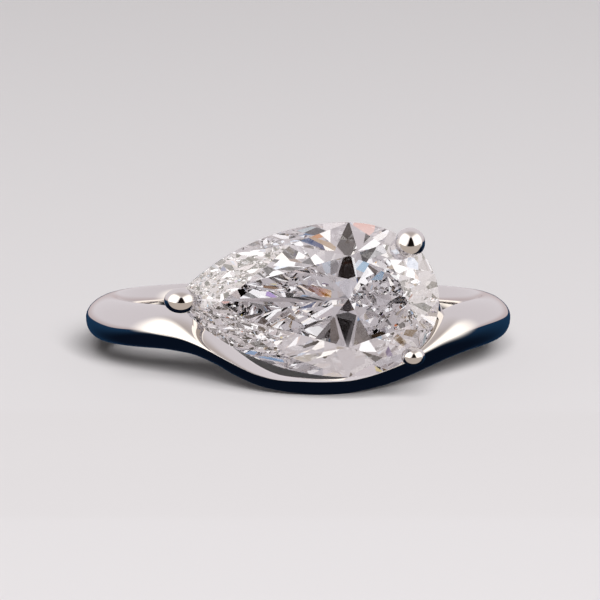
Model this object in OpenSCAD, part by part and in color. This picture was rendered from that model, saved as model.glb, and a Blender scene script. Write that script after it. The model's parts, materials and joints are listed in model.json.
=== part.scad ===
// Solitaire engagement ring: a pear brilliant set across the finger in three bead prongs,
// on a polished band that narrows and dips below the stone.
//
// Ring frame: origin in the middle of the finger hole, +X along the stone to its round end,
// -Y out through the stone's table, +Z along the finger. lay_down() then pitches the ring about
// that origin as it lies on its side on a table, touching at the dip and at the back.

/* [Finger hole] */
// Inside diameter of the band
hole_d = 16.9; // [16:0.1:18]

/* [Band] */
// Distance from the finger hole to the band's highest and lowest line
edge_in = 0.5; // [0.4:0.05:0.7]
// Rounding of each inner edge, as a share of the band's height
edge_share = 0.1; // [0.02:0.02:0.12]

/* [Stone] */
// Length of the pear
stone_l = 12; // [11:0.1:12.5]
// Width of the pear
stone_w = 7.04; // [6.8:0.02:7.4]
// Length from the widest line to the round end
head_l = 4.1; // [4:0.05:4.3]
// Radius of the outline at the widest line, on the round end's side
shoulder_r = 4.8; // [4.5:0.1:5.2]
// Radius of the blunted tip
tip_r = 0.14; // [0.1:0.01:0.2]
// Height of the crown, from the girdle to the table
crown_h = 1.05; // [0.9:0.05:1.2]
// Thickness of the girdle
girdle_h = 0.26; // [0.22:0.01:0.3]
// Depth of the pavilion, from the girdle to the culet
pavilion_h = 3.05; // [2.8:0.05:3.2]
// Distance from the girdle in to the corners of the table
table_in = 1.45; // [1.3:0.05:1.6]
// Length of the upper girdle facets as a share of the crown's height
crown_share = 0.66; // [0.6:0.01:0.72]
// Length of the lower girdle facets as a share of the pavilion's height
pavilion_share = 0.78; // [0.7:0.01:0.84]

/* [Setting] */
// Distance from the finger hole to the middle of the girdle
seat_h = 3.85; // [3.7:0.05:4]
// Widest line of the stone, to the right of the ring's middle
stone_x = 2.29; // [2.15:0.02:2.43]
// Long axis of the stone, above the band's middle plane
stone_z = 1.73; // [1.6:0.01:1.85]
// Gap between the stone and the metal round it
seat_gap = 0.03; // [0.02:0.01:0.05]

/* [Hidden] */

hole_r = hole_d / 2;
stone_y = -hole_r - seat_h;
half_w = stone_w / 2;
tip_l = stone_l - head_l;

// Columns of band_rows. ANGLE is round the finger from the front, positive to the right.
// RIM and BASE are the upper and the lower edge. CREST is the height of the band's widest
// line, 0 at the base and 1 at the rim. WALL is the thickness at the crest. ABOVE and BELOW
// are the fullness of the outer face over and under the crest: 2 is an ellipse and 1 a flat.
ANGLE = 0;
RIM = 1;
BASE = 2;
CREST = 3;
WALL = 4;
ABOVE = 5;
BELOW = 6;
band_rows = [
    [-180, 1.02, -1.04, 0.50, 1.55, 2.00, 2.20],
    [-120, 1.10, -1.05, 0.51, 1.66, 1.80, 2.30],
    [-80, 1.05, -1.06, 0.53, 1.75, 1.75, 2.40],
    [-60, 1.02, -1.04, 0.43, 1.74, 1.75, 2.10],
    [-45, 1.03, -1.01, 0.44, 1.72, 1.75, 1.80],
    [-38, 0.90, -1.07, 0.44, 1.71, 1.70, 1.65],
    [-32, 0.56, -1.20, 0.47, 1.68, 1.65, 1.50],
    [-25, -0.20, -1.58, 0.57, 1.64, 1.60, 1.40],
    [-19, -0.88, -2.06, 0.65, 1.60, 1.55, 1.32],
    [-12, -1.58, -2.50, 0.70, 1.56, 1.50, 1.25],
    [-6, -1.98, -2.72, 0.79, 1.52, 1.50, 1.22],
    [1, -2.13, -2.86, 0.88, 1.50, 1.50, 1.20],
    [8, -2.20, -2.92, 0.94, 1.50, 1.50, 1.20],
    [15, -2.15, -2.86, 0.96, 1.50, 1.50, 1.20],
    [22, -1.80, -2.70, 0.89, 1.52, 1.50, 1.25],
    [29, -1.18, -2.46, 0.75, 1.56, 1.55, 1.32],
    [36, -0.45, -2.14, 0.68, 1.60, 1.65, 1.45],
    [43, 0.28, -1.80, 0.63, 1.66, 1.70, 1.65],
    [50, 0.78, -1.50, 0.55, 1.70, 1.75, 1.85],
    [60, 1.03, -1.24, 0.53, 1.74, 1.75, 2.10],
    [80, 1.10, -1.07, 0.53, 1.75, 1.75, 2.40],
    [120, 1.10, -1.05, 0.51, 1.66, 1.80, 2.30],
    [180, 1.02, -1.04, 0.50, 1.55, 2.00, 2.20],
];
stations = 120;
quarter_points = 6;
// Turns of the points on each inner edge's rounding, from its top to the hole's wall
edge_turns = [40, 75];
// How far the band's blank reaches into the finger hole before the hole is bored
blank_in = 0.3;

// Columns of prong_rows. DIR is where the prong stands on the stone's outline. BEAD is half
// the height of its bead, and WIDER how much more it is half as wide and deep. BEAD_OUT and
// BEND_OUT are how far the bead and the leg's bend stand out past the outline. LEG is the
// leg's radius. FOOT is the leg's angle on the band, SINK how far it ends below the rim, and
// RISE how far it comes down.
DIR = 0;
BEAD = 1;
WIDER = 2;
BEAD_OUT = 3;
BEND_OUT = 4;
LEG = 5;
FOOT = 6;
SINK = 7;
RISE = 8;
prong_rows = [
    [180, 0.58, 0.18, -0.30, -1.20, 0.36, -31, 1.00, 1.3],
    [53.4, 0.68, 0.00, -0.01, -1.10, 0.36, 48.2, 0.65, 1.0],
    [309.7, 0.44, 0.10, 0.01, -0.40, 0.36, 36, 0.65, 0.4],
];
// Bead's centre above the middle of the girdle, and the leg's bend behind it
bead_lift = 0.55;
bend_back = 1.8;
// How far the leg starts its way down in front of its foot, and the foot's middle outside the
// finger hole
foot_front = 0.3;
foot_in = 0.38;
leg_steps = 10;
wire_sides = 12;

// Directions of the main facets round the stone, and of the points halfway between them
main_dirs = [0, 45, 90, 120, 180, 240, 270, 315];
half_dirs = [22.5, 67.5, 105, 129, 231, 255, 292.5, 337.5];
// Size of the blocks that the facet planes cut from
block = 60;

// Directions of the points on the stone's outline, closer where the outline is longer
outline_dirs = concat(
    [for (d = [0 : 5 : 85]) d],
    [for (d = [90 : 2 : 132]) d],
    [145, 162, 180, 198, 215],
    [for (d = [228 : 2 : 270]) d],
    [for (d = [275 : 5 : 355]) d]
);

// The outline's arcs: one at the round end, one at each shoulder, a long one along each side
// and a small one at the tip. Each turn is the direction of the normal where two arcs meet
end_r = (head_l ^ 2 + (shoulder_r - half_w) ^ 2 - shoulder_r ^ 2) / (2 * (head_l - shoulder_r));
side_r = ((tip_l - tip_r) ^ 2 + half_w ^ 2 - tip_r ^ 2) / (2 * (half_w - tip_r));
end_turn = atan2(shoulder_r - half_w, head_l - end_r);
tip_turn = atan2(side_r - half_w, tip_r - tip_l);

// Point of the upper half of the outline whose normal has the direction dir, moved out
function upper_outline(dir, out) =
    let (
        arc = dir < end_turn ? [[head_l - end_r, 0], end_r]
            : dir < 90 ? [[0, half_w - shoulder_r], shoulder_r]
            : dir < tip_turn ? [[0, half_w - side_r], side_r]
            : [[tip_r - tip_l, 0], tip_r]
    ) arc[0] + (arc[1] + out) * [cos(dir), sin(dir)];

// The same for any direction from 0 to 360
function outline_point(dir, out = 0) =
    dir <= 180 ? upper_outline(dir, out)
    : let (mirrored = upper_outline(360 - dir, out)) [mirrored.x, -mirrored.y];

// From the stone's own frame, with its table towards +Z, to the ring frame
function in_ring(v) = [stone_x + v.x, stone_y - v.z, stone_z + v.y];

// Slope of a band row, from the rows beside it
function row_slope(i) =
    let (
        before = band_rows[max(i - 1, 0)],
        after = band_rows[min(i + 1, len(band_rows) - 1)]
    ) (after - before) / (after[ANGLE] - before[ANGLE]);

// The band's row at any angle, on a smooth curve through the rows of the table
function band_row(angle) =
    let (
        i = max([for (k = [0 : len(band_rows) - 2]) if (band_rows[k][ANGLE] <= angle) k]),
        span = band_rows[i + 1][ANGLE] - band_rows[i][ANGLE],
        t = (angle - band_rows[i][ANGLE]) / span
    )
    (2 * t ^ 3 - 3 * t ^ 2 + 1) * band_rows[i]
    + (t ^ 3 - 2 * t ^ 2 + t) * span * row_slope(i)
    + (3 * t ^ 2 - 2 * t ^ 3) * band_rows[i + 1]
    + (t ^ 3 - t ^ 2) * span * row_slope(i + 1);

// Outline of the band's section as [distance from the hole's wall, height]: the rounding of the
// lower edge, the outer face from the base to the crest and on to the rim, and the rounding of
// the upper edge
function band_section(row) =
    let (
        tall = row[RIM] - row[BASE],
        crest = row[BASE] + row[CREST] * tall,
        bulge = row[WALL] - edge_in,
        turns = [for (k = [0 : quarter_points]) 90 * k / quarter_points],
        edges = [for (a = edge_turns) [edge_in * (1 - sin(a)), edge_share * tall * (1 - cos(a))]],
        inmost = edges[len(edges) - 1].y,
        lower = [for (a = turns) [edge_in + bulge * sin(a) ^ (2 / row[BELOW]),
                                  crest - (crest - row[BASE]) * cos(a) ^ (2 / row[BELOW])]],
        upper = [for (a = turns) [edge_in + bulge * sin(a) ^ (2 / row[ABOVE]),
                                  crest + (row[RIM] - crest) * cos(a) ^ (2 / row[ABOVE])]]
    )
    concat(
        [[-blank_in, row[BASE] + inmost]],
        [for (k = [len(edges) - 1 : -1 : 0]) [edges[k].x, row[BASE] + edges[k].y]],
        lower,
        [for (k = [quarter_points - 1 : -1 : 0]) upper[k]],
        [for (e = edges) [e.x, row[RIM] - e.y]],
        [[-blank_in, row[RIM] - inmost]]
    );

// Point at a distance from the finger's axis, at an angle from the front
function round_finger(r, angle, z) = [r * sin(angle), -r * cos(angle), z];

band_sections = [
    for (i = [0 : stations - 1])
        let (angle = -180 + 360 * i / stations)
        [for (q = band_section(band_row(angle))) round_finger(hole_r + q.x, angle, q.y)]
];

// Lowest point of one half of the band, front = -1 or back = 1, when the ring is pitched
function low_side(pitch, half) = min([
    for (s = band_sections, q = s) if (q.y * half > 0) q.y * sin(pitch) + q.z * cos(pitch)
]);
// Pitch at which both halves touch the ground, found by halving the interval
function settled(low, high, turns) =
    let (mid = (low + high) / 2)
    turns == 0 ? mid
    : low_side(mid, -1) > low_side(mid, 1) ? settled(mid, high, turns - 1)
    : settled(low, mid, turns - 1);
rest_pitch = settled(-12, 0, 16);

function bezier(p, t) =
    (1 - t) ^ 3 * p[0] + 3 * (1 - t) ^ 2 * t * p[1] + 3 * (1 - t) * t ^ 2 * p[2] + t ^ 3 * p[3];
function unit(v) = v / norm(v);

// Circle of points round a centre, square to a direction, with one diameter towards side. Like
// the band's sections it turns left-handed about the way that the skin runs
function wire_section(centre, along, side, r) =
    let (u = unit(side - (side * along) * along), v = cross(u, along))
    [for (k = [0 : wire_sides - 1])
        let (a = 360 * k / wire_sides) centre + r * (cos(a) * u + sin(a) * v)];

// Centre of a prong's bead, and the curve that its leg follows from the girdle to the band
function bead_centre(row) =
    let (q = outline_point(row[DIR], row[BEAD_OUT])) in_ring([q.x, q.y, bead_lift]);
function leg_curve(row) =
    let (
        girdle = outline_point(row[DIR]),
        bend = outline_point(row[DIR], row[BEND_OUT]),
        foot = round_finger(hole_r + foot_in, row[FOOT], band_row(row[FOOT])[RIM] - row[SINK])
    )
    [
        in_ring([girdle.x, girdle.y, 0]),
        in_ring([bend.x, bend.y, -bend_back]),
        foot + [0, -foot_front, row[RISE]],
        foot
    ];

// Skin over a row of sections with equal numbers of points, closed in a ring or with flat ends
module skin(sections, ring) {
    rows = len(sections);
    m = len(sections[0]);
    last = ring ? rows - 1 : rows - 2;
    sides = [
        for (i = [0 : last], j = [0 : m - 1])
            let (a = i * m, b = ((i + 1) % rows) * m, k = (j + 1) % m)
            each [[a + j, a + k, b + k], [a + j, b + k, b + j]]
    ];
    ends = ring ? [] : [[for (j = [m - 1 : -1 : 0]) j], [for (j = [0 : m - 1]) (rows - 1) * m + j]];
    polyhedron(points = [for (s = sections) each s], faces = concat(sides, ends));
}

module band() {
    skin(band_sections, ring = true);
}

module prong(row) {
    curve = leg_curve(row);
    centres = concat([bead_centre(row)], [for (k = [0 : leg_steps]) bezier(curve, k / leg_steps)]);
    last = len(centres) - 1;
    skin(
        [for (k = [0 : last])
            let (along = unit(centres[min(k + 1, last)] - centres[max(k - 1, 0)]))
            wire_section(centres[k], along, [1, 0, 0], row[LEG])],
        ring = false
    );
    translate(bead_centre(row)) bead(row[BEAD], row[WIDER]);
}

// Ball, or one drawn out all round its height when wider is more than 0
module bead(r, wider) {
    if (wider > 0)
        rotate_extrude($fn = 48)
            polygon([for (a = [-90 : 7.5 : 90]) [(r + wider) * cos(a), r * sin(a)]]);
    else
        sphere(r, $fn = 48);
}

// Half of space up to the plane through three points, on the side of the stone's middle and
// moved out by grow
module under_plane(p, grow) {
    square_to = unit(cross(p[1] - p[0], p[2] - p[0]));
    normal = square_to * p[0] < 0 ? -square_to : square_to;
    rotate([0, acos(normal.z), atan2(normal.y, normal.x)])
        translate([0, 0, normal * p[0] + grow - block / 2])
            cube(block, center = true);
}

// A point of the outline at height z, and the point beside it along the outline's tangent
function at_girdle(dir, z) = let (q = outline_point(dir)) [q.x, q.y, z];
function beside(dir, z) = at_girdle(dir, z) + [-sin(dir), cos(dir), 0];

// Corner of the table on a main facet. The tip's corner lies further in, where the sides meet
function table_corner(dir) =
    let (
        inset = dir == 180 ? table_in / sin(tip_turn) : table_in,
        q = outline_point(dir, -inset)
    ) [q.x, q.y, girdle_h / 2 + crown_h];

// Point at height z on the line where two main facets meet. The facets face the directions a
// and b, and reach_a and reach_b are how far out they are at that height
function meet_line(a, b, z, reach_a, reach_b) =
    let (d = cos(a) * sin(b) - sin(a) * cos(b))
    [(reach_a * sin(b) - reach_b * sin(a)) / d, (reach_b * cos(a) - reach_a * cos(b)) / d, z];
function reach(dir, v) = v.x * cos(dir) + v.y * sin(dir);

// Where the edge between neighbouring mains starts at the girdle, and where it ends
function edge_start(a, b, z) =
    meet_line(a, b, z, reach(a, at_girdle(a, 0)), reach(b, at_girdle(b, 0)));
function crown_edge_end(a, b) =
    meet_line(a, b, girdle_h / 2 + crown_h, reach(a, table_corner(a)), reach(b, table_corner(b)));

top = girdle_h / 2;
culet = [0, 0, -top - pavilion_h];
mains = len(main_dirs);
function next_main(k) = main_dirs[(k + 1) % mains];
function crown_meet(k) =
    let (a = edge_start(main_dirs[k], next_main(k), top), b = crown_edge_end(main_dirs[k], next_main(k)))
    a + crown_share * (b - a);
function pavilion_meet(k) =
    let (a = edge_start(main_dirs[k], next_main(k), -top)) a + pavilion_share * (culet - a);

facets = concat(
    // The table
    [[[0, 0, top + crown_h], [1, 0, top + crown_h], [0, 1, top + crown_h]]],
    // Crown mains and pavilion mains
    [for (d = main_dirs) [at_girdle(d, top), beside(d, top), table_corner(d)]],
    [for (d = main_dirs) [at_girdle(d, -top), beside(d, -top), culet]],
    // Stars beside the table
    [for (k = [0 : mains - 1])
        [table_corner(main_dirs[k]), table_corner(next_main(k)), crown_meet(k)]],
    // Upper and lower girdle facets, two between each pair of mains
    [for (k = [0 : mains - 1], d = [main_dirs[k], next_main(k)])
        [at_girdle(d, top), at_girdle(half_dirs[k], top), crown_meet(k)]],
    [for (k = [0 : mains - 1], d = [main_dirs[k], next_main(k)])
        [at_girdle(d, -top), at_girdle(half_dirs[k], -top), pavilion_meet(k)]]
);

// The cut stone in its own frame, grown all round by a gap when it is used as a cutter
module cut_stone(grow) {
    intersection() {
        translate([0, 0, -block / 4])
            linear_extrude(block / 2)
                polygon([for (d = outline_dirs) outline_point(d, grow)]);
        intersection_for(f = facets) under_plane(f, grow);
    }
}

module place_stone() {
    translate([stone_x, stone_y, stone_z]) rotate([90, 0, 0]) children();
}

// Lays the ring on its side, pitched until front and back touch the table
module lay_down() {
    rotate([rest_pitch, 0, 0]) children();
}

module band_and_setting() {
    color("silver")
        lay_down()
            difference() {
                union() {
                    band();
                    for (row = prong_rows) prong(row);
                }
                cylinder(h = 4 * hole_r, r = hole_r, center = true, $fn = 96);
                place_stone() cut_stone(seat_gap);
            }
}

module pear_stone() {
    color("white") lay_down() place_stone() cut_stone(0);
}

band_and_setting();
pear_stone();
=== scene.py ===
import json
import math

import bmesh
import bpy
from mathutils import Matrix, Vector


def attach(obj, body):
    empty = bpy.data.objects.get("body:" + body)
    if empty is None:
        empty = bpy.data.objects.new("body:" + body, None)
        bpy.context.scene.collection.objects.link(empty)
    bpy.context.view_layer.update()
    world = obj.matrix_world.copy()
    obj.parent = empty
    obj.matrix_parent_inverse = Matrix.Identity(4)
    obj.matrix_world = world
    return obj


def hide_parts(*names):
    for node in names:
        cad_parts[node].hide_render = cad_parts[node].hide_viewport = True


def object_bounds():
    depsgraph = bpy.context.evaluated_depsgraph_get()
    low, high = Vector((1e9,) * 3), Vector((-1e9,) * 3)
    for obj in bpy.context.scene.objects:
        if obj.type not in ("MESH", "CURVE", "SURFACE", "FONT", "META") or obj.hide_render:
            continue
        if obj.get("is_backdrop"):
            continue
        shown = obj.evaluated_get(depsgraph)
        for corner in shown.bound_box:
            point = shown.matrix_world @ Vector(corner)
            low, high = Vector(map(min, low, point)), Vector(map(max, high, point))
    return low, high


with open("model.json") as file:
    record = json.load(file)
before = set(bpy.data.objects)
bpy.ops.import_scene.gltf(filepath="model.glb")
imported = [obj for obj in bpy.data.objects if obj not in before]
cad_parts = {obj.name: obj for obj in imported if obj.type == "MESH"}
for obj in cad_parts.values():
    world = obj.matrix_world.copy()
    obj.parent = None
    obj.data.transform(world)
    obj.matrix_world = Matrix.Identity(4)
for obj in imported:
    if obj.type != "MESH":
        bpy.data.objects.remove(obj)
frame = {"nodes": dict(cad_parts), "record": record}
cadLow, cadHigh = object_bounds()
mm = 0.001
weld = 0.0002 * mm  # points closer than this become one

# Sizes below are millimetres in the ring's own frame: the middle of the finger hole at the
# origin, +X along the stone to its round end, -Y out through its table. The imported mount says
# how far the ring is pitched as it lies on its side.
hole = frame["record"]["mounts"][0]
holeRadius = hole["dims"]["r_mm"]
layDown = Matrix.Rotation(-math.atan2(hole["axis"][1], hole["axis"][2]), 4, "X")


def linear(hexColour, alpha=1):
    parts = [int(hexColour[i:i + 2], 16) / 255 for i in (1, 3, 5)]
    return [c / 12.92 if c < 0.04045 else ((c + 0.055) / 1.055) ** 2.4 for c in parts] + [alpha]


# Adds a node, with its settings, and its inputs as values or as the sockets they come from
def addNode(tree, kind, inputs=None, **settings):
    node = tree.nodes.new(kind)
    for key, value in settings.items():
        setattr(node, key, value)
    for key, value in (inputs or {}).items():
        if isinstance(value, bpy.types.NodeSocket):
            tree.links.new(value, node.inputs[key])
        else:
            node.inputs[key].default_value = value
    return node


def newMaterial(name):
    material = bpy.data.materials.new(name)
    material.use_nodes = True
    return material, material.node_tree


def newTree(name, sizes):
    tree = bpy.data.node_groups.new(name, "GeometryNodeTree")
    tree.interface.new_socket("Geometry", in_out="INPUT", socket_type="NodeSocketGeometry")
    for size, kind in sizes.items():
        tree.interface.new_socket(size, in_out="INPUT", socket_type="NodeSocket" + kind)
    tree.interface.new_socket("Geometry", in_out="OUTPUT", socket_type="NodeSocketGeometry")
    return tree, tree.nodes.new("NodeGroupInput").outputs


def endTree(tree, geometry, material):
    real = addNode(tree, "GeometryNodeRealizeInstances", {"Geometry": geometry})
    finish = addNode(tree, "GeometryNodeSetMaterial", {
        "Geometry": real.outputs[0], "Material": material})
    tree.links.new(finish.outputs[0], tree.nodes.new("NodeGroupOutput").inputs[0])


# A mesh of loose points, or of points joined in a path, which carries named values for a tree
def guideMesh(name, points, values=None, joined=False):
    mesh = bpy.data.meshes.new(name)
    edges = [(i, i + 1) for i in range(len(points) - 1)] if joined else []
    mesh.from_pydata([Vector(p) * mm for p in points], edges, [])
    for key, rows in (values or {}).items():
        vector = hasattr(rows[0], "__len__")
        attribute = mesh.attributes.new(key, "FLOAT_VECTOR" if vector else "FLOAT", "POINT")
        attribute.data.foreach_set("vector" if vector else "value",
                                   [x for row in rows for x in row] if vector else rows)
    guide = bpy.data.objects.new(name, mesh)
    bpy.context.scene.collection.objects.link(guide)
    return guide


# Runs a tree on a guide and keeps the result as a plain mesh, laid down as the ring lies
def makePiece(name, guide, tree, sizes):
    modifier = guide.modifiers.new(tree.name, "NODES")
    modifier.node_group = tree
    for item in tree.interface.items_tree:
        if item.in_out == "INPUT" and item.name in sizes:
            modifier[item.identifier] = sizes[item.name]
    made = guide.evaluated_get(bpy.context.evaluated_depsgraph_get())
    mesh = bpy.data.meshes.new_from_object(made)
    guide.modifiers.remove(modifier)
    bpy.data.objects.remove(guide)
    mesh.name = name
    mesh.transform(layDown)
    piece = bpy.data.objects.new(name, mesh)
    bpy.context.scene.collection.objects.link(piece)
    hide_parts("band_and_setting")
    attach(piece, "root")
    print(f"{name}: {len(mesh.polygons)} faces")


# Polished platinum: a grey-white mirror that hand polishing leaves with a trace of haze and with
# hairlines round the finger, so lights in it have slightly soft, streaked ends. Real hairlines
# are about 0.01 mm wide, and these are drawn coarser so that they show
polish = {
    "colour": "#E6E3E2",
    "hazeSize": 0.8, "hazeDetail": 3,
    "hairSize": 0.07, "hairDetail": 2,
    "hairTurn": 0.5,  # how far the pattern moves on in each radian round the finger
    "spread": (0.6, 1.4),  # range of the two patterns together
    "rough": (0.03, 0.09),  # roughness at the ends of that range
}
platinum, tree = newMaterial("polished platinum")
shader = tree.nodes["Principled BSDF"]
shader.inputs["Base Color"].default_value = linear(polish["colour"])
shader.inputs["Metallic"].default_value = 1
where = addNode(tree, "ShaderNodeTexCoord").outputs["Object"]
haze = addNode(tree, "ShaderNodeTexNoise", {
    "Vector": where, "Scale": 1 / (polish["hazeSize"] * mm), "Detail": polish["hazeDetail"]})
upright = addNode(tree, "ShaderNodeMapping", {
    "Vector": where, "Rotation": layDown.inverted().to_euler()})
x, y, z = addNode(tree, "ShaderNodeSeparateXYZ", {0: upright.outputs[0]}).outputs
flat = addNode(tree, "ShaderNodeCombineXYZ", {0: x, 1: y}).outputs[0]
radius = addNode(tree, "ShaderNodeVectorMath", {0: flat}, operation="LENGTH").outputs["Value"]
turn = addNode(tree, "ShaderNodeMath", {0: y, 1: x}, operation="ARCTAN2").outputs[0]
turn = addNode(tree, "ShaderNodeMath", {0: turn, 1: polish["hairTurn"] * mm}, operation="MULTIPLY")
rings = addNode(tree, "ShaderNodeCombineXYZ", {0: radius, 1: z, 2: turn.outputs[0]}).outputs[0]
hair = addNode(tree, "ShaderNodeTexNoise", {
    "Vector": rings, "Scale": 1 / (polish["hairSize"] * mm), "Detail": polish["hairDetail"]})
both = addNode(tree, "ShaderNodeMath", {0: haze.outputs[0], 1: hair.outputs[0]}, operation="ADD")
rough = addNode(tree, "ShaderNodeMapRange", {
    0: both.outputs[0], 1: polish["spread"][0], 2: polish["spread"][1],
    3: polish["rough"][0], 4: polish["rough"][1]})
tree.links.new(rough.outputs[0], shader.inputs["Roughness"])

# Diamond: clear with only a breath of cool growth zones, and an IOR of 2.42, so most light is
# thrown back by the lower facets
clear = {"ior": 2.417, "zoneSize": 1.2, "zoneDetail": 2, "colours": ("#FFFFFF", "#FAFBFF")}
diamond, tree = newMaterial("diamond")
shader = tree.nodes["Principled BSDF"]
where = addNode(tree, "ShaderNodeTexCoord").outputs["Object"]
zones = addNode(tree, "ShaderNodeTexNoise", {
    "Vector": where, "Scale": 1 / (clear["zoneSize"] * mm), "Detail": clear["zoneDetail"]})
pale, cool = (linear(colour) for colour in clear["colours"])
tint = addNode(tree, "ShaderNodeMix", {0: zones.outputs[0], 6: pale, 7: cool}, data_type="RGBA")
tree.links.new(tint.outputs[2], shader.inputs["Base Color"])
shader.inputs["Roughness"].default_value = 0
shader.inputs["IOR"].default_value = clear["ior"]
shader.inputs["Transmission Weight"].default_value = 1
stone = frame["nodes"]["pear_stone"]
stone.data.materials[0] = diamond
print("materials")

band = {
    "edgeIn": 0.5,  # hole's wall to the highest and lowest line
    "edgeShare": 0.36,  # rounding of each inner edge, as a share of the band's height
    "stations": 480,
    "quarterSteps": 22,
    "wallSteps": 8,
    # angle round the finger from the front, upper edge, lower edge, the ridge's share of the
    # height between them, wall, fullness of the face above and of the one below the ridge: 2 is
    # an ellipse and 1 a flat
    "rows": [
        (-180, 1.02, -1.04, 0.50, 1.55, 2.00, 2.20), (-120, 1.10, -1.05, 0.51, 1.66, 1.80, 2.30),
        (-80, 1.05, -1.06, 0.53, 1.75, 1.75, 2.40), (-60, 1.02, -1.04, 0.43, 1.74, 1.75, 2.10),
        (-45, 1.03, -1.01, 0.44, 1.72, 1.75, 1.80), (-38, 0.90, -1.07, 0.44, 1.71, 1.70, 1.65),
        (-32, 0.56, -1.20, 0.47, 1.68, 1.65, 1.50), (-25, -0.20, -1.58, 0.57, 1.64, 1.60, 1.40),
        (-19, -0.88, -2.06, 0.65, 1.60, 1.55, 1.32), (-12, -1.58, -2.50, 0.70, 1.56, 1.50, 1.25),
        (-6, -1.98, -2.72, 0.79, 1.52, 1.50, 1.22), (1, -2.13, -2.86, 0.88, 1.50, 1.50, 1.20),
        (8, -2.20, -2.92, 0.94, 1.50, 1.50, 1.20), (15, -2.15, -2.86, 0.96, 1.50, 1.50, 1.20),
        (22, -1.80, -2.70, 0.89, 1.52, 1.50, 1.25), (29, -1.18, -2.46, 0.75, 1.56, 1.55, 1.32),
        (36, -0.45, -2.14, 0.68, 1.60, 1.65, 1.45), (43, 0.28, -1.80, 0.63, 1.66, 1.70, 1.65),
        (50, 0.78, -1.50, 0.55, 1.70, 1.75, 1.85), (60, 1.03, -1.24, 0.53, 1.74, 1.75, 2.10),
        (80, 1.10, -1.07, 0.53, 1.75, 1.75, 2.40), (120, 1.10, -1.05, 0.51, 1.66, 1.80, 2.30),
        (180, 1.02, -1.04, 0.50, 1.55, 2.00, 2.20),
    ],
}


def rowSlope(i):
    before, after = band["rows"][max(i - 1, 0)], band["rows"][min(i + 1, len(band["rows"]) - 1)]
    return [(b - a) / (after[0] - before[0]) for a, b in zip(before, after)]


# The band's row at any angle, on a smooth curve through the rows
def bandRow(angle):
    rows = band["rows"]
    i = max(k for k in range(len(rows) - 1) if rows[k][0] <= angle)
    span = rows[i + 1][0] - rows[i][0]
    t = (angle - rows[i][0]) / span
    shares = (2 * t**3 - 3 * t**2 + 1, (t**3 - 2 * t**2 + t) * span,
              3 * t**2 - 2 * t**3, (t**3 - t**2) * span)
    parts = zip(rows[i], rowSlope(i), rows[i + 1], rowSlope(i + 1))
    return [sum(s * p for s, p in zip(shares, part)) for part in parts]


# The section as one closed loop. Each point's face says how far it is from the lower edge to
# the upper one, and has the cosine and sine of its turn from an edge to the ridge. Its edge has
# its share of edgeIn and its distance from the edge in roundings
def bandLoop():
    steps = band["quarterSteps"]
    turns = [math.pi / 2 * k / steps for k in range(steps)]
    edge = [math.pi / 2 * k / steps for k in range(0, steps + 1, 2)]
    loop = [((0, 1, 0), (1 - math.sin(a), 1 - math.cos(a), 0)) for a in reversed(edge)]
    loop += [((0, math.cos(a), math.sin(a)), (1, 0, 0)) for a in turns[1:]]
    loop += [((0.5, 0, 1), (1, 0, 0))]
    loop += [((1, math.cos(a), math.sin(a)), (1, 0, 0)) for a in reversed(turns)]
    loop += [((1, 1, 0), (1 - math.sin(a), math.cos(a) - 1, 0)) for a in edge[1:]]
    walls = [(k + 1) / band["wallSteps"] for k in range(band["wallSteps"])]
    return loop + [((1 - t, 1, 0), (0, 2 * t - 1, 0)) for t in walls]


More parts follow.
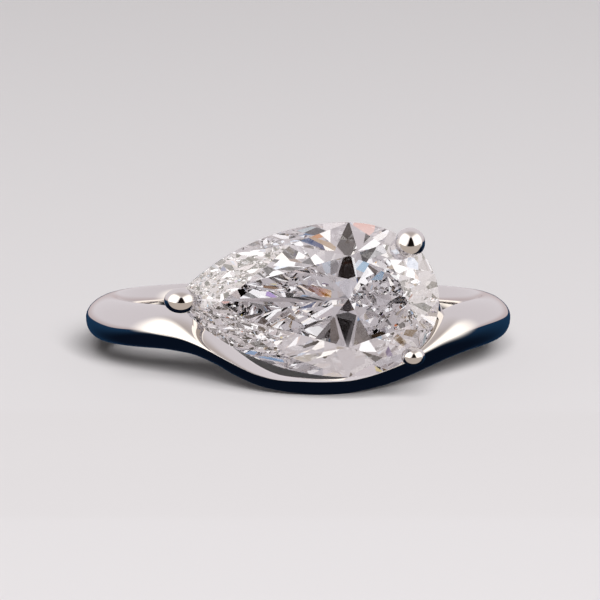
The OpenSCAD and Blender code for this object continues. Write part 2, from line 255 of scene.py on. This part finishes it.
def bandTree():
    tree, given = newTree("swept band", {
        "Section": "Object", "Hole Radius": "Float", "Edge In": "Float", "Edge Share": "Float",
        "Material": "Material"})
    drawn = addNode(tree, "GeometryNodeObjectInfo", {"Object": given["Section"]})
    section = drawn.outputs["Geometry"]
    counts = [addNode(tree, "GeometryNodeAttributeDomainSize", {"Geometry": guide}).outputs[0]
              for guide in (given["Geometry"], section)]
    grid = addNode(tree, "GeometryNodeMeshGrid", {
        "Vertices X": counts[0], "Vertices Y": counts[1]})
    index = addNode(tree, "GeometryNodeInputIndex").outputs[0]
    station, around = [
        addNode(tree, "FunctionNodeIntegerMath", {0: index, 1: counts[1]}, operation=way).outputs[0]
        for way in ("DIVIDE_FLOOR", "MODULO")]

    # Values that a point reads from its station and from its place in the section
    values = {"edgeIn": given["Edge In"], "share": given["Edge Share"],
              "holeRadius": given["Hole Radius"]}
    reads = [
        (given["Geometry"], station, "heights", ("lower", "upper", "ridge")),
        (given["Geometry"], station, "powers", ("above", "below")),
        (given["Geometry"], station, "bulge", None),
        (given["Geometry"], station, "turn", None),
        (section, around, "face", ("climb", "cosine", "sine")),
        (section, around, "edge", ("inward", "dropped")),
    ]
    for geometry, place, name, names in reads:
        kind = "FLOAT_VECTOR" if names else "FLOAT"
        named = addNode(tree, "GeometryNodeInputNamedAttribute", {"Name": name}, data_type=kind)
        value = addNode(tree, "GeometryNodeSampleIndex", {
            "Geometry": geometry, "Value": named.outputs[0], "Index": place},
            data_type=kind).outputs[0]
        if names:
            values.update(zip(names, addNode(tree, "ShaderNodeSeparateXYZ", {0: value}).outputs))
        else:
            values[name] = value

    # The point's distance from the finger hole's axis, its height, and its place from both
    steps = [
        ("lean", "SUBTRACT", "above", "below"),
        ("power", "MULTIPLY_ADD", "lean", "climb", "below"),
        ("tall", "SUBTRACT", "upper", "lower"),
        ("inner", "MULTIPLY_ADD", "inward", "edgeIn", "holeRadius"),
        ("swell", "POWER", "sine", "power"),
        ("radius", "MULTIPLY_ADD", "swell", "bulge", "inner"),
        ("rim", "MULTIPLY_ADD", "tall", "climb", "lower"),
        ("rise", "SUBTRACT", "rim", "ridge"),
        ("curve", "POWER", "cosine", "power"),
        ("level", "MULTIPLY_ADD", "rise", "curve", "ridge"),
        ("drop", "MULTIPLY", "dropped", "share"),
        ("height", "MULTIPLY_ADD", "drop", "tall", "level"),
        ("across", "SINE", "turn"),
        ("along", "COSINE", "turn"),
        ("x", "MULTIPLY", "radius", "across"),
        ("back", "MULTIPLY", "radius", "along"),
    ]
    for name, operation, *terms in steps:
        inputs = {k: values[term] for k, term in enumerate(terms)}
        values[name] = addNode(tree, "ShaderNodeMath", inputs, operation=operation).outputs[0]
    y = addNode(tree, "ShaderNodeMath", {0: values["back"], 1: -1}, operation="MULTIPLY").outputs[0]
    spot = addNode(tree, "ShaderNodeCombineXYZ", {0: values["x"], 1: y, 2: values["height"]})
    placed = addNode(tree, "GeometryNodeSetPosition", {
        "Geometry": grid.outputs[0], "Position": spot.outputs[0]})
    closed = addNode(tree, "GeometryNodeMergeByDistance", {
        "Geometry": placed.outputs[0], "Distance": weld})
    smooth = addNode(tree, "GeometryNodeSetShadeSmooth", {"Geometry": closed.outputs[0]})
    endTree(tree, smooth.outputs[0], given["Material"])
    return tree


angles = [-180 + 360 * i / band["stations"] for i in range(band["stations"] + 1)]
rows = [bandRow(a) for a in angles]
stations = guideMesh("stations", [(0, 0, 0)] * len(rows), {
    "turn": [math.radians(a) for a in angles],
    "heights": [(r[2] * mm, r[1] * mm, (r[2] + r[3] * (r[1] - r[2])) * mm) for r in rows],
    "bulge": [(r[4] - band["edgeIn"]) * mm for r in rows],
    "powers": [(2 / r[5], 2 / r[6], 0) for r in rows],
})
loop = bandLoop()
section = guideMesh("section", [(0, 0, 0)] * len(loop), {
    "face": [p[0] for p in loop], "edge": [p[1] for p in loop]})
makePiece("band", stations, bandTree(), {
    "Section": section, "Hole Radius": holeRadius * mm, "Edge In": band["edgeIn"] * mm,
    "Edge Share": band["edgeShare"], "Material": platinum})
bpy.data.objects.remove(section)

pear = {"long": 12, "wide": 7.04, "head": 4.1, "shoulder": 4.8, "tip": 0.14,
        "seatHeight": 3.85, "right": 2.29, "up": 1.73, "gap": 0.03}
prongs = {
    # where it stands on the outline, bead's radius and how much wider and deeper than high it is
    # on each side, bead and leg's bend out past the outline, leg radius, foot's angle on the
    # band, depth below the rim, rise
    "rows": {
        "prong_left": (180, 0.58, 0.18, -0.30, -1.20, 0.36, -31, 1.00, 1.3),
        "prong_upper_right": (53.4, 0.68, 0.00, -0.01, -1.10, 0.36, 48.2, 0.65, 1.0),
        "prong_lower_right": (309.7, 0.44, 0.10, 0.01, -0.40, 0.36, 36, 0.65, 0.4),
    },
    "beadLift": 0.55, "legBack": 1.8, "footBack": 0.3, "footIn": 0.38, "steps": 40, "sides": 48,
    "beadSides": 96, "beadRings": 48,
    "sharp": 30,  # degrees of turn that leave an edge crisp
}


# Point of the stone's outline whose normal has the direction degrees: arcs at the round end and
# the shoulder, a long side arc and a small tip arc
def stonePoint(degrees, out=0):
    half, tip, tipX = pear["wide"] / 2, pear["tip"], pear["tip"] - pear["long"] + pear["head"]
    head, shoulder = pear["head"], pear["shoulder"]
    sideR = (tipX**2 + half**2 - tip**2) / (2 * (half - tip))
    endR = (head**2 + (shoulder - half) ** 2 - shoulder**2) / (2 * (head - shoulder))
    turn = degrees if degrees <= 180 else 360 - degrees
    if turn < math.degrees(math.atan2(shoulder - half, head - endR)):
        middle, radius = (head - endR, 0), endR
    elif turn < 90:
        middle, radius = (0, half - shoulder), shoulder
    elif turn < math.degrees(math.atan2(sideR - half, tipX)):
        middle, radius = (0, half - sideR), sideR
    else:
        middle, radius = (tipX, 0), tip
    a = math.radians(turn)
    x, y = middle[0] + (radius + out) * math.cos(a), middle[1] + (radius + out) * math.sin(a)
    return x, y if degrees <= 180 else -y


# From the stone's own frame, with its table towards +Z, to the ring's
def inRing(x, y, z):
    return Vector((pear["right"] + x, -holeRadius - pear["seatHeight"] - z, pear["up"] + y))


# The stone's own facets moved out by the gap, to cut its seats in the metal
def seatCutter():
    mesh = stone.data.copy()
    shape = bmesh.new()
    shape.from_mesh(mesh)
    bmesh.ops.remove_doubles(shape, verts=shape.verts, dist=weld)
    shape.normal_update()
    for v in shape.verts:
        v.co += v.normal * pear["gap"] * mm
    shape.to_mesh(mesh)
    shape.free()
    mesh.transform(layDown.inverted())
    cutter = bpy.data.objects.new("seat cutter", mesh)
    bpy.context.scene.collection.objects.link(cutter)
    return cutter


# Wire along a path, with a bead on its start, and a seat cut for the stone
def wireTree():
    tree, given = newTree("wire and bead", {
        "Wire Radius": "Float", "Sides": "Int", "Bead Radius": "Float", "Bead Stretch": "Float",
        "Cutter": "Object", "Material": "Material"})
    path = addNode(tree, "GeometryNodeMeshToCurve", {"Mesh": given["Geometry"]}).outputs[0]
    ring = addNode(tree, "GeometryNodeCurvePrimitiveCircle", {
        "Resolution": given["Sides"], "Radius": given["Wire Radius"]})
    wire = addNode(tree, "GeometryNodeCurveToMesh", {
        "Curve": path, "Profile Curve": ring.outputs["Curve"], "Fill Caps": True}).outputs[0]
    ball = addNode(tree, "GeometryNodeMeshUVSphere", {
        "Segments": prongs["beadSides"], "Rings": prongs["beadRings"],
        "Radius": given["Bead Radius"]})
    more = addNode(tree, "ShaderNodeMath", {
        0: given["Bead Stretch"], 1: given["Bead Radius"]}, operation="DIVIDE").outputs[0]
    wide = addNode(tree, "ShaderNodeMath", {0: more, 1: 1}, operation="ADD").outputs[0]
    drawn = addNode(tree, "ShaderNodeCombineXYZ", {0: wide, 1: wide, 2: 1}).outputs[0]
    position = addNode(tree, "GeometryNodeInputPosition").outputs[0]
    start = addNode(tree, "GeometryNodeSampleIndex", {
        "Geometry": given["Geometry"], "Value": position, "Index": 0},
        data_type="FLOAT_VECTOR").outputs[0]
    bead = addNode(tree, "GeometryNodeTransform", {
        "Geometry": ball.outputs["Mesh"], "Translation": start, "Scale": drawn}).outputs[0]
    union = addNode(tree, "GeometryNodeMeshBoolean", operation="UNION", solver="EXACT")
    for part in (wire, bead):
        tree.links.new(part, union.inputs["Mesh 2"])
    cutter = addNode(tree, "GeometryNodeObjectInfo", {"Object": given["Cutter"]})
    seated = addNode(tree, "GeometryNodeMeshBoolean", {
        "Mesh 1": union.outputs[0], "Mesh 2": cutter.outputs["Geometry"]},
        operation="DIFFERENCE", solver="EXACT")
    smooth = addNode(tree, "GeometryNodeSetShadeSmooth", {"Geometry": seated.outputs[0]})
    angle = addNode(tree, "GeometryNodeInputMeshEdgeAngle").outputs[0]
    sharp = addNode(tree, "FunctionNodeCompare", {
        0: angle, 1: math.radians(prongs["sharp"])}, operation="GREATER_THAN").outputs[0]
    crisp = addNode(tree, "GeometryNodeSetShadeSmooth", {
        "Geometry": smooth.outputs[0], "Selection": sharp, "Shade Smooth": False}, domain="EDGE")
    endTree(tree, crisp.outputs[0], given["Material"])
    return tree


def bezier(p, t):
    return ((1 - t) ** 3 * p[0] + 3 * (1 - t) ** 2 * t * p[1]
            + 3 * (1 - t) * t**2 * p[2] + t**3 * p[3])


wire = wireTree()
cutter = seatCutter()
for name, (stands, bead, stretch, beadOut, legOut, leg, foot, sink, rise) in prongs["rows"].items():
    row = bandRow(foot)
    a, reach = math.radians(foot), holeRadius + prongs["footIn"]
    footPoint = Vector((reach * math.sin(a), -reach * math.cos(a), row[1] - sink))
    legPoint = stonePoint(stands, legOut)
    curve = [inRing(*stonePoint(stands), 0), inRing(*legPoint, -prongs["legBack"]),
             footPoint + Vector((0, -prongs["footBack"], rise)), footPoint]
    path = [inRing(*stonePoint(stands, beadOut), prongs["beadLift"])]
    path += [bezier(curve, k / prongs["steps"]) for k in range(prongs["steps"] + 1)]
    makePiece(name, guideMesh(name + " path", path, joined=True), wire, {
        "Wire Radius": leg * mm, "Sides": prongs["sides"], "Bead Radius": bead * mm,
        "Bead Stretch": stretch * mm, "Cutter": cutter, "Material": platinum})
bpy.data.objects.remove(cutter)
print("setting")


# Floor, which only shows itself and the ring's shadow, and a glowing sheet, a stand-in for lit
# paper, that reflections see
def sheet(name, low, high, up, material):
    mesh = bpy.data.meshes.new(name)
    corners = [(low[0], low[1]), (high[0], low[1]), (high[0], high[1]), (low[0], high[1])]
    mesh.from_pydata([(x * mm, y * mm, cadLow.z + up * mm) for x, y in corners], [], [(0, 1, 2, 3)])
    mesh.materials.append(material)
    made = bpy.data.objects.new(name, mesh)
    bpy.context.scene.collection.objects.link(made)
    made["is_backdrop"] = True
    return made


stage = {"size": 3000, "colour": "#E2E0E4", "rough": 0.9, "paper": "#D9CCC1", "paperLight": 0.8,
         "paperLow": (-120, -34), "paperHigh": (120, -12.9), "paperUp": 0.02}
matt, tree = newMaterial("pale floor")
shader = tree.nodes["Principled BSDF"]
shader.inputs["Base Color"].default_value = linear(stage["colour"])
shader.inputs["Roughness"].default_value = stage["rough"]
floor = sheet("floor", [-stage["size"]] * 2, [stage["size"]] * 2, 0, matt)
floor.visible_glossy = floor.visible_transmission = False
# Glowing ivory sheet: its colour is emitted light, a stand-in for lit paper, and only reflections
# see it
ivory, tree = newMaterial("glowing ivory sheet")
tree.nodes.clear()
glow = addNode(tree, "ShaderNodeEmission", {
    "Color": linear(stage["paper"]), "Strength": stage["paperLight"]})
addNode(tree, "ShaderNodeOutputMaterial", {"Surface": glow.outputs[0]})
paper = sheet("paper", stage["paperLow"], stage["paperHigh"], stage["paperUp"], ivory)
paper.visible_camera = paper.visible_transmission = False
paper.visible_diffuse = paper.visible_shadow = False

# Studio: pale walls and soft boxes above a dark table, and in front of the ring a strip of glowing
# ivory sheet, a stand-in for lit paper, that only reflections see. Azimuth 0 is where the camera
# stands and is positive to the right; width and height are half the box's, as slopes from its
# middle, and taper is how much narrower it gets upwards. Light that leaves the stone meets a
# second room, with lights whose edges part into colours and the dark and tinted shapes that give
# its facets their contrast. The floor meets even light and the lamp below.
studio = {
    # from straight down, height -1, to straight up, height 1: the table's colour, and then the
    # two heights between which the light turns to each next colour
    "table": "#0A1220",
    "levels": [(-0.6, -0.02, "#1C3855"), (-0.03, -0.01, "#C9BBBC"), (0, 0.2, "#E2DCE0")],
    "farRaise": 0.07, "farPower": 4,  # how much lower the table ends straight behind the ring
    "seen": "#E4E2E6",  # what the camera itself sees
    "floorSky": 0.05,  # even light on the floor
    "boxes": [
        # azimuth, elevation, width, height, taper, softness, colour, strength
        (0, 78, 1.0, 0.5, 0.0, 0.35, "#D2C7C3", 0.85),
        (-59, 25, 0.75, 0.95, 0.0, 0.25, "#FFF9F0", 1.8),
        (64, 20, 0.80, 0.84, 0.0, 0.25, "#FFF9F0", 1.6),
        (6, 15, 0.34, 0.72, 0.30, 0.05, "#1A1512", 1.0),
    ],
    "stoneTable": "#C2B9BB", "stoneSky": "#CCC4C8", "stoneLevels": (-0.5, 0.3),
    "prism": 0.012,  # how far the colours part at the edges of the stone's lights
    "stoneLights": [
        (-50, 30, 0.45, 0.55, 0.0, 0.05, "#FFFCFD", 1.3),
        (52, 32, 0.40, 0.55, 0.0, 0.05, "#FFF9F6", 1.3),
        (0, 66, 0.75, 0.22, 0.0, 0.05, "#FFFBFD", 1.2),
        (0, -50, 0.90, 0.35, 0.0, 0.05, "#E8DCDE", 0.95),
        (-33, -23, 0.20, 0.13, 0.0, 0.03, "#5C4C42", 0.7),
        (180, -30, 0.40, 0.12, 0.0, 0.05, "#50453F", 0.8),
        (150, 10, 0.12, 0.30, 0.0, 0.03, "#2C2A32", 0.8),
        (-120, -20, 0.12, 0.30, 0.0, 0.03, "#34323A", 0.8),
        (63, 10, 0.05, 0.34, 0.0, 0.03, "#201E24", 0.8),
    ],
    "stoneShapes": [
        (-60, 16, 0.05, 0.55, 0.0, 0.02, "#2A282C", 0.4),
        (-30, 10, 0.05, 0.50, 0.0, 0.02, "#3A3432", 0.4),
        (-75, 50, 0.10, 0.12, 0.0, 0.02, "#26242A", 0.3),
        (-52, -40, 0.12, 0.12, 0.0, 0.02, "#2C221E", 0.3),
        (-44, 38, 0.05, 0.16, 0.0, 0.02, "#1E1A1C", 0.3),
        (-40, -10, 0.07, 0.10, 0.0, 0.02, "#241E1E", 0.3),
        (-140, 28, 0.10, 0.12, 0.0, 0.02, "#26242A", 0.3),
        (-14, 66, 0.10, 0.06, 0.0, 0.02, "#3A3434", 0.4),
        (-24, 24, 0.035, 0.12, 0.0, 0.015, "#1E1A1C", 0.3),
        (-7, 10, 0.03, 0.16, 0.0, 0.015, "#2A2626", 0.4),
        (30, -65, 0.35, 0.25, 0.0, 0.05, "#967A5C", 0.7),
        (68, 7, 0.05, 0.06, 0.0, 0.02, "#8A8088", 0.9),
        (48, 13, 0.05, 0.08, 0.0, 0.02, "#2A2626", 0.4),
        (-12, 3, 0.05, 0.06, 0.0, 0.02, "#2A2626", 0.4),
        (36, -31, 0.12, 0.10, 0.0, 0.03, "#2C221E", 0.4),
        (120, -48, 0.14, 0.12, 0.0, 0.03, "#2C221E", 0.4),
        (-91, 12, 0.09, 0.14, 0.0, 0.03, "#2C282A", 0.4),
        (-148, 22, 0.07, 0.10, 0.0, 0.03, "#3A3434", 0.4),
        (-25, 70, 0.12, 0.10, 0.0, 0.03, "#1C1A1C", 0.4),
        (-134, -48, 0.12, 0.10, 0.0, 0.03, "#2C221E", 0.4),
        (134, 0, 0.07, 0.10, 0.0, 0.03, "#1C181A", 0.4),
        (-158, 24, 0.05, 0.10, 0.0, 0.03, "#1C181A", 0.4),
        (-24, -6, 0.05, 0.06, 0.0, 0.02, "#3A2E28", 0.4),
        (122, 72, 0.10, 0.10, 0.0, 0.02, "#4A4648", 0.4),
        (-165, 76, 0.16, 0.14, 0.0, 0.02, "#3A2E28", 0.4),
        (6, -16, 0.36, 0.075, 0.0, 0.015, "#64564E", 0.8),
        (-16, -34, 0.05, 0.05, 0.0, 0.02, "#6E5E52", 0.8),
        (0.6, -5.7, 0.08, 0.018, 0.0, 0.003, "#08080E", 0.1),
        (0.7, 27, 0.10, 0.14, 0.0, 0.02, "#2A1812", 0.3),
        (1.5, 54, 0.03, 0.10, 0.0, 0.01, "#4A4240", 0.4),
        (-42, 48, 0.05, 0.05, 0.0, 0.015, "#E0805A", 1.0),
        (-30, 36, 0.04, 0.04, 0.0, 0.02, "#D08C50", 1.0),
        (-102, 72, 0.05, 0.05, 0.0, 0.02, "#C0DCF4", 1.0),
        (-20, 16, 0.05, 0.06, 0.0, 0.02, "#98B4D8", 0.9),
        (-36, -6, 0.04, 0.05, 0.0, 0.02, "#D0B4EC", 1.0),
        (-150, 6, 0.05, 0.05, 0.0, 0.02, "#F0D880", 1.0),
    ],
}
world = bpy.data.worlds.new("studio")
bpy.context.scene.world = world
world.use_nodes = True
tree = world.node_tree
tree.nodes.clear()
toward = addNode(tree, "ShaderNodeTexCoord").outputs["Generated"]
rays = addNode(tree, "ShaderNodeLightPath").outputs


# How far a direction is inside a box, which slides right and up by shift
def boxShare(box, shift=0):
    azimuth, elevation, width, height, taper, soft = box[:6]
    a, e = math.radians(azimuth), math.radians(elevation)
    axes = [(math.sin(a) * math.cos(e), -math.cos(a) * math.cos(e), math.sin(e)),
            (math.cos(a), math.sin(a), 0),
            (-math.sin(a) * math.sin(e), math.cos(a) * math.sin(e), math.cos(e))]
    dots = [addNode(tree, "ShaderNodeVectorMath", {0: toward, 1: axis}, operation="DOT_PRODUCT")
            for axis in axes]
    depth, right, up = (dot.outputs["Value"] for dot in dots)
    shares = []
    for way, half, narrowing in ((right, width, taper), (up, height, 0)):
        slid = addNode(tree, "ShaderNodeMath", {
            0: depth, 1: -shift, 2: way}, operation="MULTIPLY_ADD")
        away = addNode(tree, "ShaderNodeMath", {0: slid.outputs[0]}, operation="ABSOLUTE")
        if narrowing:
            away = addNode(tree, "ShaderNodeMath", {
                0: up, 1: narrowing, 2: away.outputs[0]}, operation="MULTIPLY_ADD")
        past = addNode(tree, "ShaderNodeMath", {
            0: depth, 1: -half, 2: away.outputs[0]}, operation="MULTIPLY_ADD")
        shares.append(addNode(tree, "ShaderNodeMapRange", {
            0: past.outputs[0], 1: soft, 2: -soft}, interpolation_type="SMOOTHSTEP").outputs[0])
    return addNode(tree, "ShaderNodeMath", {
        0: shares[0], 1: shares[1]}, operation="MULTIPLY").outputs[0]


# Lays boxes over a light, one after the other
def addBoxes(light, boxes):
    for box in boxes:
        shine = [c * box[7] for c in linear(box[6])]
        light = addNode(tree, "ShaderNodeMix", {
            0: boxShare(box), 6: light, 7: shine}, data_type="RGBA").outputs[2]
    return light


_, behind, level = addNode(tree, "ShaderNodeSeparateXYZ", {0: toward}).outputs
far = addNode(tree, "ShaderNodeMath", {0: behind, 1: 0}, operation="MAXIMUM").outputs[0]
far = addNode(tree, "ShaderNodeMath", {0: far, 1: studio["farPower"]}, operation="POWER").outputs[0]
height = addNode(tree, "ShaderNodeMath", {
    0: far, 1: studio["farRaise"], 2: level}, operation="MULTIPLY_ADD").outputs[0]
light = linear(studio["table"])
for low, high, colour in studio["levels"]:
    share = addNode(tree, "ShaderNodeMapRange", {
        0: height, 1: low, 2: high}, interpolation_type="SMOOTHSTEP").outputs[0]
    light = addNode(tree, "ShaderNodeMix", {
        0: share, 6: light, 7: linear(colour)}, data_type="RGBA").outputs[2]
light = addBoxes(light, studio["boxes"])

low, high = studio["stoneLevels"]
share = addNode(tree, "ShaderNodeMapRange", {
    0: level, 1: low, 2: high}, interpolation_type="SMOOTHSTEP").outputs[0]
stoneLight = addNode(tree, "ShaderNodeMix", {
    0: share, 6: linear(studio["stoneTable"]), 7: linear(studio["stoneSky"])},
    data_type="RGBA").outputs[2]
channels = list(addNode(tree, "ShaderNodeSeparateColor", {0: stoneLight}).outputs)
for i, shift in enumerate((-studio["prism"], 0, studio["prism"])):
    for box in studio["stoneLights"]:
        channels[i] = addNode(tree, "ShaderNodeMix", {
            0: boxShare(box, shift), 2: channels[i], 3: linear(box[6])[i] * box[7]}).outputs[0]
stoneLight = addNode(tree, "ShaderNodeCombineColor", dict(enumerate(channels))).outputs[0]
stoneLight = addBoxes(stoneLight, studio["stoneShapes"])

# The floor's light, then what metal, the stone and the camera see instead
leftStone = addNode(tree, "ShaderNodeMath", {
    0: rays["Transmission Depth"], 1: 0.5}, operation="GREATER_THAN").outputs[0]
seen = [studio["floorSky"]] * 3 + [1]
for share, sight in ((rays["Is Glossy Ray"], light), (leftStone, stoneLight),
                     (rays["Is Camera Ray"], linear(studio["seen"]))):
    seen = addNode(tree, "ShaderNodeMix", {
        0: share, 6: seen, 7: sight}, data_type="RGBA").outputs[2]
background = addNode(tree, "ShaderNodeBackground", {"Color": seen})
addNode(tree, "ShaderNodeOutputWorld", {"Surface": background.outputs[0]})

# Soft box that only lights the floor, low enough to keep the shadow behind and under the ring
lamp = {"azimuth": 6, "elevation": 25, "away": 1500, "size": (650, 400), "watts": 51,
        "colour": "#FFFDFA"}
lampData = bpy.data.lights.new("floor lamp", "AREA")
lampData.shape, lampData.energy = "RECTANGLE", lamp["watts"]
lampData.color = linear(lamp["colour"])[:3]
lampData.size, lampData.size_y = (side * mm for side in lamp["size"])
lampObject = bpy.data.objects.new("floor lamp", lampData)
bpy.context.scene.collection.objects.link(lampObject)
a, e = math.radians(lamp["azimuth"]), math.radians(lamp["elevation"])
toLamp = Vector((math.sin(a) * math.cos(e), -math.cos(a) * math.cos(e), math.sin(e)))
lampObject.location = toLamp * lamp["away"] * mm
lampObject.rotation_euler = (math.pi / 2 - e, 0, a)
lampObject.visible_camera = lampObject.visible_glossy = lampObject.visible_transmission = False
print("studio")

# Camera where the photograph was taken from: its height is given above the ring's own middle
# plane, and the shift puts the finger hole's middle where the photograph has it
view = {
    "distance": 220, "elevation": 4.5, "lens": 274.6, "sensor": 36,
    "shift": (1.85 / 600, 16.5 / 600),  # pixels of the photograph's 600
    "clip": (0.01, 10), "bounces": 24,
}
cameraData = bpy.data.cameras.new("camera")
cameraData.lens, cameraData.sensor_width = view["lens"], view["sensor"]
cameraData.shift_x, cameraData.shift_y = view["shift"]
cameraData.clip_start, cameraData.clip_end = view["clip"]
camera = bpy.data.objects.new("camera", cameraData)
e = math.radians(view["elevation"])
camera.location = layDown @ Vector((0, -math.cos(e), math.sin(e))) * view["distance"] * mm
camera.rotation_euler = (-camera.location).to_track_quat("-Z", "Y").to_euler()
bpy.context.scene.collection.objects.link(camera)
bpy.context.scene.camera = camera
bpy.context.scene.view_settings.view_transform = "Standard"

# Light crosses the stone many times before it gets out
cycles = bpy.context.scene.cycles
cycles.max_bounces = cycles.transmission_bounces = cycles.glossy_bounces = view["bounces"]
cycles.caustics_reflective = cycles.caustics_refractive = False
print("camera")

low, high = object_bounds()
print("CAD box", [list(cadLow), list(cadHigh)], "visual box", [list(low), list(high)])
